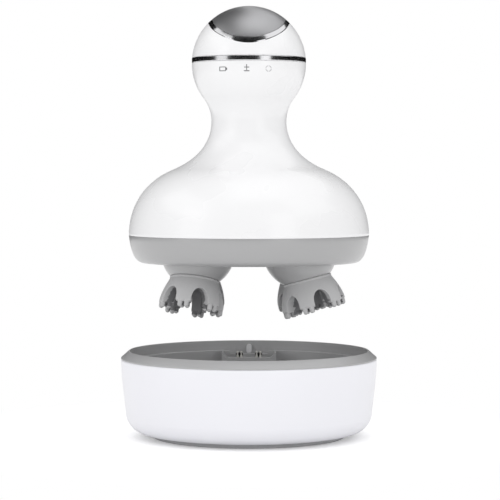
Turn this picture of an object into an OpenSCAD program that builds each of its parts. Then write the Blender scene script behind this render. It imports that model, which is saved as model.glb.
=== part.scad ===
// Electric scalp massager with four turning heads, lifted off its charging base.
// Millimetres, +Z up, origin at the middle of the base's foot. The front is -Y.

/* [Placement] */
// Height of the massager above its seat in the base
rest_lift = 45.8; // [0:0.1:90]
// Free height left between the massager and the seat when it is set down
seat_gap = 0.1; // [0.05:0.05:0.5]

/* [Massager body] */
// Radius of the bell at the seam
bell_r = 55.2; // [54:0.1:58]
// Height of the grey lower housing
seam_h = 12.4; // [11.5:0.1:16]
// Radius where the bell turns over into the shoulder
shoulder_r = 35.1; // [32:0.1:38]
// Height of that turn above the underside
shoulder_h = 42.5; // [40:0.1:48]
// Radius of the neck
neck_r = 17.2; // [16.8:0.1:19]
// Radius of the ball grip
ball_r = 26.2; // [25.8:0.1:28]
// Height of the ball's centre above the neck
ball_rise = 26.5; // [25.5:0.1:27.5]
// Wall of the moulded housings
wall = 2; // [1.6:0.1:2.4]
// Floor of the lower housing
floor_t = 2.4; // [2.2:0.1:3]
// Depth of the recess in the underside that clears the contact shelf
pocket_h = 1; // [1:0.05:1.1]
// Width of the rounded edge between the underside and the seam
edge_w = 6.6; // [5.7:0.1:8]

/* [Ball trim and button] */
// Height of the bright trim ring
trim_h = 2.4; // [1.5:0.1:4]
// Half width of the button opening, side to side
button_a = 18.7; // [17.5:0.1:19.2]
// Half length of the button opening, front to back
button_b = 24.2; // [23:0.1:24.4]
// Radius of the ends of the opening
button_end_r = 13.5; // [12:0.1:15]
// Width of the bright bezel
bezel_w = 1.15; // [0.8:0.05:1.6]
// Gap round the button
button_gap = 0.15; // [0.1:0.05:0.4]
// Thickness of the button cap
cap_t = 1.8; // [1.2:0.1:2.2]
// Travel of the button
button_travel = 0.8; // [0.3:0.1:0.9]
// How far the button stands proud of the ball
button_proud = 0.2; // [0:0.05:0.6]

/* [Heads] */
// Distance of a head's axis from the middle, side to side
head_x = 23; // [22.6:0.1:24]
// Distance of a head's axis from the middle, front to back
head_y = 18.5; // [18:0.1:20]
// Radius of the head's ball turret
turret_r = 16.8; // [16.4:0.1:17]
// Height of the turret's centre above the underside
turret_h = 5.6; // [5:0.1:5.8]
// Tilt of the claw on its turret
head_tilt = 15; // [5:1:18]
// Distance of the claw's seam from the turret's centre
claw_seam = 12.65; // [12:0.05:13]
// Running gap between a turret and its opening
turret_gap = 0.45; // [0.3:0.05:0.8]
// Radius of the head shafts
shaft_r = 3; // [2.5:0.1:3.5]
// Directions in which the claws lean: front left, front right, back left, back right
lean = [243, 349.7, 243, 41];
// Turn of each claw on its leaning axis, in the same order
claw_turn = [-17, -3, -17, -8];

/* [Claws] */
// Radius of the claw at its seam
claw_top_r = 11.05; // [10.5:0.05:11.2]
// Radius of the claw at its finger ends
claw_end_r = 14.6; // [13.5:0.1:14.9]
// Length of the fingers below the seam
claw_len = 12.8; // [11.5:0.1:13.5]
// Thickness of a finger at its end
finger_t = 5.3; // [4.5:0.1:6]
// Number of fingers
fingers = 6; // [6:1:6]
// Height of the arch's crown below the seam
arch_top = 5.8; // [5:0.1:8]
// Width of an arch at the finger ends
arch_w = 8.2; // [6:0.1:8.5]
// Height of the rolled lip at the seam
lip_h = 1.1; // [0.8:0.1:1.5]
// Radius of a stud
stud_r = 1.1; // [0.8:0.05:1.15]
// Length of a stud
stud_len = 2.5; // [2:0.1:3]

/* [Drive] */
// Teeth of the middle gear
drive_teeth = 31; // [31:1:31]
// Teeth of each head gear
head_teeth = 28; // [28:1:28]
// Width of the gears
gear_w = 5; // [3:0.5:5.5]
// Radius of the motor
motor_r = 12; // [10:0.1:12.2]
// Length of the motor can
motor_len = 25; // [20:0.5:26]
// Length of the motor's gearhead
gearhead_len = 11.6; // [8:0.1:12.5]
// Radius of the battery cell
cell_r = 9; // [7:0.1:9.1]
// Length of the battery cell
cell_len = 35; // [32:0.5:37]
// Height of the control board above the ball's centre
board_rise = 13.7; // [13:0.1:14.5]

/* [Charging base] */
// How far the base's opening lies inside the bell's radius
rim_inset = 0.3; // [0.1:0.1:0.6]
// Width of the sloped rim round the opening
rim_w = 4; // [3.5:0.1:6]
// Height of the base
base_h = 39.8; // [39.5:0.1:48]
// Height of the sloped rim
rim_h = 3.7; // [2.5:0.1:4.2]
// Wall of the outer shell
shell_t = 2.2; // [1.6:0.1:2.6]
// Radius of the shell's lower edge
shell_edge_r = 9.5; // [8:0.1:11]
// Taper of the shell from rim to edge
shell_taper = 2.1; // [1:0.1:2.5]
// Depth of the seat below the rim
seat_depth = 4.5; // [4:0.1:6]
// Width of the ledge that the massager sits on
ledge_w = 3.9; // [3:0.1:4.4]
// Wall of the liner
liner_t = 1.8; // [1.4:0.1:2]
// Height of the foot ring that shows
foot_h = 2.1; // [1.5:0.1:3]
// Distance of the foot ring inside the shell's rounded edge
foot_inset = 2.8; // [1:0.1:5]
// Width of the foot ring
foot_w = 4.5; // [3:0.1:6]

/* [Charging contacts] */
// Distance of the contacts inside the well's edge
contact_inset = 7; // [6:0.1:8]
// Distance of each pair of contacts from the middle, side to side
contact_x = 4.6; // [4:0.1:6]
// Pitch of the two pins in a pair
pin_pitch = 1.8; // [1.7:0.1:2.2]
// Radius of a pin
pin_r = 0.55; // [0.4:0.05:0.6]
// Travel of a pin
pin_travel = 1.2; // [0.5:0.1:1.5]
// Half width of the contact shelf
shelf_a = 12.9; // [11:0.1:13]
// Distance from the contacts to the shelf's front face
shelf_front = 6; // [4.5:0.1:6.1]

/* [Hidden] */
$fn = 96;
eps = 0.01;
big = 200;

HEADS = [[-head_x, -head_y], [head_x, -head_y], [-head_x, head_y], [head_x, head_y]];
HEAD_NAMES = ["front_left", "front_right", "back_left", "back_right"];

// Colours
white = "white";
grey = "darkgray";
soft_grey = "silver";
bright = "gainsboro";
steel = "lightsteelblue";
dark = "dimgray";
board_green = "seagreen";
brass = "goldenrod";

// Fits
slide_gap = 0.03;
snug = 0.1;

// Heights in the massager, above its underside
plate_h = seam_h;
plate_t = 2.6;
plate_top = plate_h + plate_t;
gear_h = plate_top + 2;
cover_h = gear_h + gear_w + 2;
cover_t = 2.4;
cover_top = cover_h + cover_t;
shaft_top = cover_top + 0.8;
motor_h = cover_top + gearhead_len;
motor_top = motor_h + motor_len;
turret_top = plate_h - 2.6;
cell_h = motor_top + 5;
cell_top = cell_h + cell_len;
board_h = cell_top + 2;
board_t = 1.2;
board_top = board_h + board_t;
switch_h = 3.4;
switch_top = board_top + switch_h;
plunger_sink = 1;
plunger_rise = button_travel + 0.2;
ball_h = board_h - board_rise;
neck_h = ball_h - ball_rise;
trim_low = ball_h + 0.1;
trim_top = trim_low + trim_h;
icon_h = ball_h - 3.6;
icon_board_y = 17.4;
collar_r = ball_r - wall - 1.9;

// Plan of the massager and of its fixings
underside_r = bell_r - edge_w;
plate_r = bell_r - 6.7;
cover_r = plate_r - 2.5;
post_at = plate_r - 11.5;
post_r = 3.5;
plate_boss_y = 9.1;
plate_boss_x = sqrt((plate_r - 4.5)^2 - plate_boss_y^2);
pillar_x = head_x + 6;
pillar_y = head_y + 7.5;
pillar_r = 2.8;
board_r = cell_r + 4.5;
bush_r = shaft_r + 1.5;
bush_flange = 0.8;
motor_shaft_r = 2;
seal_cup_r = shaft_r + 3.6;
spigot_h = 2.6;
spigot_r = bell_r - wall - 2.5 * snug;
seal_h = seam_h + spigot_h / 2;
seal_r = 0.5;
pad_r = 2.25;
seal_groove = 1.05;
key_w = 2.8;

// Button-shaped end of a turret, below the seam, that the claw snaps over
button_low = -3.7;
button_rim = 1.6;
button_seat_r = 6.2;
button_neck_r = 5.4;

// Screws: radius, head radius, head height and length of thread
case_screw = [1.05, 2.8, 1.9, 14];
plate_screw = [0.85, 2.2, 1.5, 8];
cover_screw = [0.85, 2.2, 1, 7.5];
motor_screw = [1.15, 2.2, 1, 5];
motor_screw_x = 8.5;
board_screw = [0.75, 1.6, 1, 4];
liner_screw = [0.85, 2.5, 1.1, 3.4];

// Plan of the base
rim_r = bell_r - rim_inset;
base_r = rim_r + rim_w;
well_r = rim_r - ledge_w;
contact_y = well_r - contact_inset;
shelf_y = contact_y - shelf_front;
foot_r = base_r - shell_taper - shell_edge_r - foot_inset;
liner_screw_at = foot_r - foot_w - 6;

// Heights in the base, above the table
ledge_z = base_h - seat_depth;
shell_top = base_h - rim_h;
shell_floor = foot_h + shell_t;
well_floor = shell_floor + 3.2;
shelf_top = ledge_z - 0.1;
shelf_floor = ledge_z - 3.1;
shelf_roof = shelf_floor - liner_t;
shelf_corner = 3.2;
carrier_t = 2.5;
pin_board_z = shelf_roof - carrier_t - 1.4;
barrel_r = pin_r + 0.25;
usb_board_z = shell_floor + 8;
usb_w = 8.9;
usb_h = 3.2;
usb_len = 7.4;
usb_y = base_r - shell_taper - 1.2;
usb_board_w = 20;
usb_board_len = 10.5;
usb_board_y = usb_y - usb_len - 6.7;
charge_board_w = 20;
charge_board_len = 8.4;
carrier_w = 18;
carrier_len = 5.2;

// --- Curves -------------------------------------------------------------

function curve(p, n) = [for (i = [0:n]) let (t = i / n, u = 1 - t)
    u^3 * p[0] + 3 * u^2 * t * p[1] + 3 * u * t^2 * p[2] + t^3 * p[3]];

// The same curve moved by w to its left
function curve_inset(p, n, w) = [for (i = [0:n]) let (
    t = i / n, u = 1 - t,
    d = u^2 * (p[1] - p[0]) + 2 * u * t * (p[2] - p[1]) + t^2 * (p[3] - p[2]))
    u^3 * p[0] + 3 * u^2 * t * p[1] + 3 * u * t^2 * p[2] + t^3 * p[3]
    + w * [-d.y, d.x] / norm(d)];

function arc(c, r, a0, a1, n) = [for (i = [0:n]) let (a = a0 + (a1 - a0) * i / n)
    c + r * [cos(a), sin(a)]];

function backwards(p) = [for (i = [len(p) - 1:-1:0]) p[i]];

// Bell: from the seam up to the turn, then on to the neck
shoulder_dir = [sin(67.5), -cos(67.5)];
turn = [shoulder_r, shoulder_h];
bell_curve = [[bell_r, seam_h], [bell_r, seam_h + 16.1], turn + 11.1 * shoulder_dir, turn];
neck_curve = [turn, turn - 10.3 * shoulder_dir, [neck_r, neck_h - 11.3], [neck_r, neck_h]];

// The hollow under the ball that joins it to the neck is one arc, tangent to both
throat_r = (neck_r^2 + (ball_h - neck_h)^2 - ball_r^2) / (2 * (ball_r - neck_r));
throat_c = [neck_r + throat_r, neck_h];
throat_a = atan2(ball_h - neck_h, throat_c.x);
ball_c = [0, ball_h];

// Outline of the body from the seam to the height top, w inside the surface
function body_outline(w, top) = concat(
    curve_inset(bell_curve, 12, w),
    [for (i = [1:12]) curve_inset(neck_curve, 12, w)[i]],
    [for (i = [1:8]) arc(throat_c, throat_r + w, 180, 180 - throat_a, 8)[i]],
    [for (i = [1:8]) arc(ball_c, ball_r - w, -throat_a, asin((top - ball_h) / (ball_r - w)), 8)[i]]);

// Rounded lower edge of the lower housing
edge_curve = [[underside_r, 0], [underside_r + 3.6, 0], [bell_r - 1, 4], [bell_r, seam_h]];
edge_points = curve(edge_curve, 10);
seat_drop = lookup(well_r, edge_points);
hang_z = ledge_z - seat_drop + seat_gap + rest_lift;

// --- Shared shapes ------------------------------------------------------

module at_massager() {
    translate([0, 0, hang_z]) children();
}

module at_heads() {
    for (p = HEADS) translate([p.x, p.y, 0]) children();
}

module at_posts() {
    for (a = [0:90:270]) rotate([0, 0, a]) translate([post_at, 0, 0]) children();
}

module at_motor_screws() {
    for (s = [-1, 1]) translate([s * motor_screw_x, 0, 0]) children();
}

module at_liner_screws() {
    for (a = [45:90:315]) rotate([0, 0, a]) translate([liner_screw_at, 0, 0]) children();
}

module at_plate_bosses() {
    for (x = [-1, 1], y = [-1, 1]) translate([x * plate_boss_x, y * plate_boss_y, 0]) children();
}

module at_pillars() {
    for (x = [-1, 1]) translate([x * pillar_x, 0, 0]) children();
    for (y = [-1, 1]) translate([0, y * pillar_y, 0]) children();
}

module tube(r, bore, h) {
    difference() {
        cylinder(r = r, h = h);
        translate([0, 0, -eps]) cylinder(r = bore, h = h + 2 * eps);
    }
}

// Pan-head screw with its head down and a hexagon socket
module screw(size) {
    difference() {
        union() {
            cylinder(r = size[1], h = size[2]);
            cylinder(r = size[0], h = size[2] + size[3]);
        }
        translate([0, 0, -eps]) cylinder(r = size[1] * 0.5, h = size[2] * 0.6, $fn = 6);
    }
}

// Oval of the button opening, w inside its edge, as four tangent arcs
side_r = (button_a^2 + (button_b - button_end_r)^2 - button_end_r^2) / (2 * (button_a - button_end_r));
end_y = button_b - button_end_r;
meet = atan2(end_y, side_r - button_a);

module oval(w) {
    y_meet = (side_r - w) * sin(meet);
    for (s = [-1, 1]) translate([0, s * end_y]) circle(r = button_end_r - w);
    intersection() {
        translate([button_a - side_r, 0]) circle(r = side_r - w);
        translate([side_r - button_a, 0]) circle(r = side_r - w);
        translate([-button_a, -y_meet]) square([2 * button_a, 2 * y_meet]);
    }
}

module oval_bar(w, z0, z1) {
    translate([0, 0, z0]) linear_extrude(z1 - z0) oval(w);
}

// Ball with its poles to the front and the back
module ball(r) {
    rotate([90, 0, 0]) sphere(r = r);
}

// Lying cylinder whose top follows the saddle of the button opening, w below it
saddle_r = 34.9;
saddle_top = sqrt(ball_r^2 - button_a^2);

module saddle(w) {
    translate([-ball_r, 0, saddle_top - saddle_r]) rotate([0, 90, 0])
        cylinder(r = saddle_r - w, h = 2 * ball_r);
}

// --- Gears --------------------------------------------------------------

pressure = 25;
gear_module = 2 * norm([head_x, head_y]) / (drive_teeth + head_teeth);
backlash = 0.16;

function involute_at(base, r) = let (a = acos(base / r)) tan(a) * 180 / PI - a;

// One flank from the root to the tip: angle from the tooth's middle, at each radius
function flank(m, teeth) = let (
    pitch = m * teeth / 2, base = pitch * cos(pressure),
    root = pitch - 1.05 * m, tip = pitch + 0.8 * m,
    half = 90 / teeth - backlash / 2 / pitch * 180 / PI / 2 + involute_at(base, pitch))
    [for (r = [root, max(base, root) + 0.05, pitch, tip])
        [r, half - (r > base ? involute_at(base, r) : 0)]];

function gear_outline(m, teeth) = [for (k = [0:teeth - 1]) let (f = flank(m, teeth), mid = 360 * k / teeth)
    each concat(
        [for (i = [0:3]) f[i][0] * [cos(mid - f[i][1]), sin(mid - f[i][1])]],
        [for (i = [3:-1:0]) f[i][0] * [cos(mid + f[i][1]), sin(mid + f[i][1])]])];

module gear(teeth, bore, hub_r, hub_low, hub_high) {
    difference() {
        union() {
            linear_extrude(gear_w) polygon(gear_outline(gear_module, teeth));
            translate([0, 0, -hub_low]) cylinder(r = hub_r, h = gear_w + hub_low + hub_high);
        }
        translate([0, 0, -hub_low - eps]) cylinder(r = bore, h = gear_w + hub_low + hub_high + 2 * eps);
    }
}

// --- Charging base ------------------------------------------------------

function shell_outline(w) = let (low = base_r - shell_taper, c = [low - shell_edge_r, foot_h + shell_edge_r])
    concat([[0, foot_h + w]],
        arc(c, shell_edge_r - w, -90, -10, 8),
        curve([[low + 0.2 - w, c.y + 2], [low + 1 - w, c.y + 10],
            [base_r - w, c.y + 16], [base_r - w, shell_top]], 6));

module base_shell() {
    color(white) {
        difference() {
            rotate_extrude() polygon(concat(shell_outline(0), [[0, shell_top]]));
            translate([0, 0, eps]) rotate_extrude()
                polygon(concat(shell_outline(shell_t), [[0, shell_top + 1]]));
            // Groove for the foot ring
            translate([0, 0, foot_h - 1]) difference() {
                cylinder(r = foot_r + snug, h = 1.6);
                translate([0, 0, -1]) cylinder(r = foot_r - foot_w - snug, h = 4);
            }
            // Recesses and holes of the liner screws
            at_liner_screws() translate([0, 0, foot_h - eps]) {
                cylinder(r = liner_screw[1] + 0.2, h = 1.4);
                cylinder(r = liner_screw[0] + 0.55, h = 9);
            }
            // Window of the charging socket
            translate([0, base_r, usb_board_z + board_t + usb_h / 2]) rotate([90, 0, 0]) usb_plan(0.35, 10);
        }
        // Bosses under the socket's board
        for (s = [-1, 1]) translate([s * (usb_board_w / 2 - 2.5), usb_board_y + 3.5, shell_floor - 0.5])
            cylinder(r = 2, h = usb_board_z - shell_floor + 0.5);
    }
}

// Flat-sided round-ended bar along the socket
module usb_plan(grow, h) {
    r = usb_h / 2 + grow;
    for (x = [-1, 1]) translate([x * (usb_w - usb_h) / 2, 0, 0]) cylinder(r = r, h = h);
    translate([-(usb_w - usb_h) / 2, -r, 0]) cube([usb_w - usb_h, 2 * r, h]);
}

module base_liner() {
    out = well_r + liner_t;
    color(grey) difference() {
        union() {
            rotate_extrude() polygon(concat(
                [[0, well_floor - liner_t], [out - 5, well_floor - liner_t]],
                arc([out - 4, well_floor - liner_t + 4], 4, -80, 0, 4),
                [[out, ledge_z - liner_t], [base_r - shell_t - snug, ledge_z - liner_t],
                [base_r - shell_t - snug, shell_top], [base_r, shell_top], [base_r, shell_top + 0.5],
                [rim_r + 0.4, base_h], [rim_r, base_h - 0.2],
                [rim_r - 0.5, ledge_z], [well_r + 0.2, ledge_z], [well_r, ledge_z - 0.2]],
                arc([well_r - 4, well_floor + 4], 4, 0, -90, 5),
                [[0, well_floor]]));
            shelf();
            key();
            at_liner_screws() translate([0, 0, shell_floor + snug])
                cylinder(r = 4, h = well_floor - shell_floor - 1);
        }
        // Chamber under the shelf, open to the back and below
        translate([-shelf_a + liner_t, shelf_y + liner_t, 0])
            cube([2 * (shelf_a - liner_t), base_r - shelf_y - 6, shelf_roof]);
        at_liner_screws() cylinder(r = liner_screw[0] + 0.05, h = well_floor - 0.7);
        translate([0, 0, shelf_roof - 1]) at_pins() cylinder(r = barrel_r + slide_gap, h = 5);
    }
}

// Shelf at the back of the well: its top dips between two rounded shoulders
module shelf() {
    difference() {
        intersection() {
            translate([-shelf_a, shelf_y, well_floor - 0.5])
                cube([2 * shelf_a, 20, shelf_top - well_floor + 0.5]);
            cylinder(r = well_r + 1, h = base_h);
        }
        shelf_dip(shelf_floor, shelf_y + 1.2);
        shelf_dip(shelf_floor + 0.6, shelf_y - 1);
    }
}

module shelf_dip(z, y) {
    a = shelf_a - 0.5 - shelf_corner;
    translate([-a, y, z]) cube([2 * a, well_r - 0.6 - y, 10]);
    translate([-a - shelf_corner, y, z + shelf_corner]) cube([2 * (a + shelf_corner), well_r - 0.6 - y, 10]);
    for (s = [-1, 1]) translate([s * a, y, z + shelf_corner]) rotate([-90, 0, 0])
        cylinder(r = shelf_corner, h = well_r - 0.6 - y);
}

// Upright key on the back wall that finds the notch in the lower housing
module key() {
    r = rim_r - 2;
    translate([-key_w / 2, r, ledge_z - 1.6]) cube([key_w, 3, 2.9]);
    translate([0, r, ledge_z + 1.3]) rotate([-90, 0, 0]) cylinder(r = key_w / 2, h = 3);
}

module base_foot() {
    color(dark) tube_z(foot_r, foot_r - foot_w, foot_h + 0.5);
}

module tube_z(r, bore, h) {
    rotate_extrude() polygon([[bore, 0.3], [bore + 0.3, 0], [r - 0.3, 0], [r, 0.3], [r, h], [bore, h]]);
}

module base_screws() {
    color(steel) at_liner_screws() translate([0, 0, foot_h + 0.2]) screw(liner_screw);
}

module usb_board() {
    color(board_green) translate([-usb_board_w / 2, usb_board_y, usb_board_z])
        cube([usb_board_w, usb_board_len, board_t]);
}

module usb_socket() {
    z = usb_board_z + board_t + usb_h / 2;
    color(steel) translate([0, usb_y, z]) rotate([90, 0, 0]) difference() {
        usb_plan(0, usb_len);
        translate([0, 0, -1]) usb_plan(-0.35, usb_len);
    }
    color(dark) translate([-3.3, usb_y - usb_len + 1, z - 0.35]) cube([6.6, 5, 0.7]);
}

module charge_board() {
    color(board_green) translate([-charge_board_w / 2, contact_y - charge_board_len / 2 + 0.6, pin_board_z])
        cube([charge_board_w, charge_board_len, board_t]);
}

module at_pins() {
    for (i = [0:3]) translate([pin_x(i), contact_y, 0]) children();
}

function pin_x(i) = (i < 2 ? -1 : 1) * contact_x + (i % 2 == 0 ? -1 : 1) * pin_pitch / 2;

module pin_carrier() {
    color(dark) difference() {
        translate([-carrier_w / 2, contact_y - carrier_len / 2, shelf_roof - carrier_t])
            cube([carrier_w, carrier_len, carrier_t - snug]);
        translate([0, 0, shelf_roof - carrier_t - 1]) at_pins()
            cylinder(r = barrel_r + slide_gap, h = carrier_t + 2);
    }
}

pin_tip = hang_z - rest_lift + pocket_h - 0.05;
pin_low = pin_tip - 4.4;

module pin_barrels() {
    low = pin_board_z + board_t;
    color(brass) difference() {
        translate([0, 0, low]) at_pins() cylinder(r = barrel_r, h = shelf_floor + 0.5 - low);
        at_pins() translate([0, 0, pin_low - pin_travel - 0.2]) cylinder(r = pin_r + 0.05, h = 20);
    }
}

module pin(i) {
    color(brass) translate([pin_x(i), contact_y, pin_low]) {
        cylinder(r = pin_r, h = pin_tip - pin_low - 0.3);
        translate([0, 0, pin_tip - pin_low - 0.3]) cylinder(r1 = pin_r, r2 = pin_r - 0.25, h = 0.3);
    }
}

// --- Massager housings --------------------------------------------------

module lower_housing() {
    color(grey) at_massager() difference() {
        union() {
            rotate_extrude() polygon(concat([[0, 0]], edge_points,
                [[spigot_r, seam_h], [spigot_r, seal_h - 0.7], [spigot_r - seal_groove, seal_h - 0.7],
                [spigot_r - seal_groove, seal_h + 0.7], [spigot_r, seal_h + 0.7],
                [spigot_r, seam_h + spigot_h], [bell_r - 2 * wall, seam_h + spigot_h]],
                backwards(curve_inset(edge_curve, 10, 2 * wall - 0.6)),
                [[0, floor_t]]));
            at_posts() translate([0, 0, floor_t - 0.5]) cylinder(r = post_r + 1.2, h = 4);
            at_plate_bosses() translate([0, 0, floor_t - 0.5]) cylinder(r = 3.2, h = plate_h - floor_t + 0.5);
        }
        at_heads() translate([0, 0, turret_h]) sphere(r = turret_r + turret_gap);
        at_posts() translate([0, 0, -eps]) {
            cylinder(r = 3.2, h = 3);
            cylinder(r = 1.5, h = 10);
        }
        at_plate_bosses() translate([0, 0, 5]) cylinder(r = 0.9, h = 10);
        // Recess over the contact shelf, and the holes of the contact pads
        translate([-shelf_a - 0.6, shelf_y - 1, -1])
            cube([2 * shelf_a + 1.2, well_r - shelf_y + 1.3, pocket_h + 1]);
        for (s = [-1, 1]) translate([s * contact_x, contact_y, -1]) cylinder(r = pad_r + 0.05, h = 5);
        // Notch for the key of the base
        translate([-key_w / 2 - 0.3, rim_r - 2.6, -1]) cube([key_w + 0.6, 6, 7]);
    }
}

module upper_housing() {
    color(white) at_massager() difference() {
        union() {
            rotate_extrude()
                polygon(concat(body_outline(0, trim_low), backwards(body_outline(wall, trim_low))));
            // Collar that the top cover closes over
            translate([0, 0, ball_h - 4]) tube(ball_r - wall + 0.1, collar_r, trim_low - ball_h + 4);
            translate([0, 0, trim_low - 1]) tube(ball_r - wall - 0.7, collar_r, trim_h + 2.2);
            intersection() {
                rotate_extrude() polygon(concat(body_outline(0.5, trim_low), [[0, trim_low], [0, seam_h]]));
                at_posts() translate([0, 0, seam_h]) cylinder(r = post_r, h = 40);
            }
            at_posts() translate([0, 0, floor_t + 3.6]) cylinder(r = post_r, h = seam_h);
        }
        at_posts() cylinder(r = 1.1, h = 24);
    }
}

module housing_seal() {
    color(dark) at_massager() translate([0, 0, seal_h]) rotate_extrude()
        translate([spigot_r - seal_groove + seal_r, 0]) circle(r = seal_r, $fn = 24);
}

module case_screws() {
    color(steel) at_massager() at_posts() translate([0, 0, 1]) screw(case_screw);
}

module contact_pads() {
    color(brass) at_massager() for (s = [-1, 1]) translate([s * contact_x, contact_y, pocket_h]) {
        cylinder(r = pad_r, h = floor_t - pocket_h);
        cylinder(r = 1, h = floor_t - pocket_h + 2);
    }
}

module top_cover() {
    color(white) at_massager() translate([0, 0, ball_h]) difference() {
        intersection() {
            ball(ball_r);
            translate([0, 0, trim_top - ball_h]) cylinder(r = ball_r + 1, h = ball_r);
        }
        ball(ball_r - wall);
        oval_bar(-0.05, 4, ball_r + 1);
    }
}

module trim_ring() {
    color(bright) at_massager() translate([0, 0, trim_low]) tube(ball_r, ball_r - wall - 0.5, trim_h);
}

module button_bezel() {
    color(bright) at_massager() translate([0, 0, ball_h]) difference() {
        intersection() {
            ball(ball_r + 0.1);
            oval_bar(0, 0, ball_r + 1);
        }
        oval_bar(bezel_w, -1, ball_r + 2);
        saddle(2.6);
    }
}

module power_button() {
    w = bezel_w + button_gap;
    stem = switch_top + plunger_rise - ball_h;
    lug_y = 2.5;
    color(soft_grey) at_massager() translate([0, 0, ball_h]) {
        difference() {
            intersection() {
                ball(ball_r + button_proud);
                oval_bar(w, 0, ball_r + 1);
            }
            intersection() {
                ball(ball_r + button_proud - cap_t);
                oval_bar(w + 1.6, -1, ball_r + 1);
            }
            saddle(2.8);
        }
        // Stem that works the switch
        translate([0, 0, stem]) cylinder(r = 2.4, h = ball_r + button_proud - cap_t / 2 - stem);
        // Lugs that catch under the bezel
        for (s = [-1, 1]) translate([s * (button_a - w - 0.3) - 1.3, -lug_y, saddle_top - 3.9])
            cube([2.6, 2 * lug_y, 1.1]);
    }
}

// --- Heads --------------------------------------------------------------

module at_head(i) {
    at_massager() translate([HEADS[i].x, HEADS[i].y, 0]) children();
}

// Frame of a claw: origin at the turret's centre, -Z along the leaning axis
module leaning(i) {
    translate([0, 0, turret_h]) rotate([0, 0, lean[i]]) rotate([0, -head_tilt, 0]) children();
}

module turret(i) {
    color(grey) at_head(i) difference() {
        union() {
            difference() {
                translate([0, 0, turret_h]) sphere(r = turret_r);
                translate([-big / 2, -big / 2, turret_top]) cube(big);
                leaning(i) translate([-big / 2, -big / 2, -claw_seam - big]) cube(big);
            }
            leaning(i) translate([0, 0, button_low - claw_seam]) {
                translate([0, 0, button_rim]) cylinder(r = button_neck_r, h = 3);
                cylinder(r = button_seat_r, h = button_rim);
            }
        }
        translate([0, 0, turret_h - 3]) cylinder(r = shaft_r + 0.02, h = 30);
    }
}

module head_shaft(i) {
    color(steel) at_head(i) translate([0, 0, turret_h - 2.9])
        cylinder(r = shaft_r, h = shaft_top - turret_h + 2.9);
}

function spread(i) = atan2(HEADS[i].y, HEADS[i].x);

module head_gear(i) {
    mesh = spread(i) + 180 - 180 / head_teeth + spread(i) * drive_teeth / head_teeth;
    color(soft_grey) at_head(i) translate([0, 0, gear_h]) rotate([0, 0, mesh])
        gear(head_teeth, shaft_r + 0.02, 5.5, 0.8, 1.6);
}

// Half ellipse whose crown is at the top of an arch, scaled by k in width
module arch_plan(k) {
    half = k * arch_w / 2;
    polygon(concat(
        [for (a = [0:15:180]) [half * cos(a), (claw_len - arch_top) * sin(a)]],
        [[-half, -stud_len], [half, -stud_len]]));
}

module finger_arch() {
    reach = claw_end_r + 4;
    hull() for (x = [0.2, reach]) translate([x, 0, -claw_len]) rotate([90, 0, 90])
        linear_extrude(0.01) arch_plan(x / claw_end_r);
}

module claw(i) {
    lip = [[claw_top_r - 0.3, 0], [claw_top_r, -0.2], [claw_top_r + 0.1, -lip_h / 2],
        [claw_top_r, 0.1 - lip_h], [claw_top_r - 0.15, -lip_h]];
    skirt = [[claw_top_r + 0.1, -lip_h - 0.35], [claw_top_r + 1.2, -4], [claw_end_r - 0.3, -8],
        [claw_end_r, -claw_len + 0.6]];
    inner = claw_end_r - finger_t;
    roof = lip_h - arch_top;
    color(soft_grey) at_head(i) leaning(i) translate([0, 0, -claw_seam - 0.05]) rotate([0, 0, claw_turn[i]]) {
        difference() {
            rotate_extrude() polygon(concat([[0, 0]], lip, curve(skirt, 8),
                [[claw_end_r - 0.6, -claw_len], [inner + 0.4, -claw_len], [inner, -claw_len + 0.4],
                [inner - 1.4, roof - 1.6], [inner - 3.4, roof], [0, roof]]));
            for (k = [0:fingers - 1]) rotate([0, 0, k * 360 / fingers]) finger_arch();
            // Seat over the turret's button-shaped end
            translate([0, 0, button_low - 0.05]) {
                cylinder(r = button_seat_r + snug / 2, h = button_rim + 0.1);
                cylinder(r = button_neck_r + snug / 2, h = 5);
            }
        }
        for (k = [0:fingers - 1]) rotate([0, 0, (k + 0.5) * 360 / fingers]) finger_studs();
    }
}

module finger_studs() {
    for (row = [[claw_end_r - stud_r - 0.15, 1.5], [claw_end_r - finger_t + stud_r + 0.1, 1.2]], s = [-1, 1])
        translate([row[0], s * row[1], -claw_len - stud_len + stud_r]) {
            cylinder(r = stud_r, h = stud_len - stud_r + 1, $fn = 32);
            sphere(r = stud_r, $fn = 32);
        }
}

// --- Drive --------------------------------------------------------------

module bearing_plate() {
    color(dark) at_massager() difference() {
        union() {
            translate([0, 0, plate_h]) cylinder(r = plate_r, h = plate_t);
            at_heads() translate([0, 0, plate_h - 2.3]) cylinder(r = seal_cup_r + 1.6, h = 3);
        }
        at_posts() translate([0, 0, plate_h - 1]) cylinder(r = post_r + 0.4, h = 10);
        at_heads() {
            translate([0, 0, plate_h - 3]) cylinder(r = seal_cup_r, h = 3);
            translate([0, 0, plate_h - 1]) cylinder(r = bush_r, h = 10);
        }
        at_plate_bosses() translate([0, 0, plate_h - 1]) cylinder(r = 1.2, h = 10);
        at_pillars() translate([0, 0, plate_h - 1]) cylinder(r = 1.2, h = 10);
        translate([0, 0, plate_h + 0.6]) cylinder(r = 4, h = 10);
    }
}

module shaft_seals() {
    color(dark) at_massager() at_heads() translate([0, 0, plate_h - 2.2]) rotate_extrude()
        polygon([[seal_cup_r - 0.05, 0], [seal_cup_r - 0.05, 2.1], [shaft_r + 1.4, 2.1],
            [shaft_r + 0.06, 0.9], [shaft_r + 0.06, 0.5], [shaft_r + 1.4, 1.2], [shaft_r + 1.4, 0]]);
}

module flanged_bush(bore, r, flange_r, h) {
    difference() {
        union() {
            cylinder(r = r - 0.02, h = h);
            translate([0, 0, h - bush_flange]) cylinder(r = flange_r, h = bush_flange);
        }
        translate([0, 0, -eps]) cylinder(r = bore, h = h + 1);
    }
}

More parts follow.
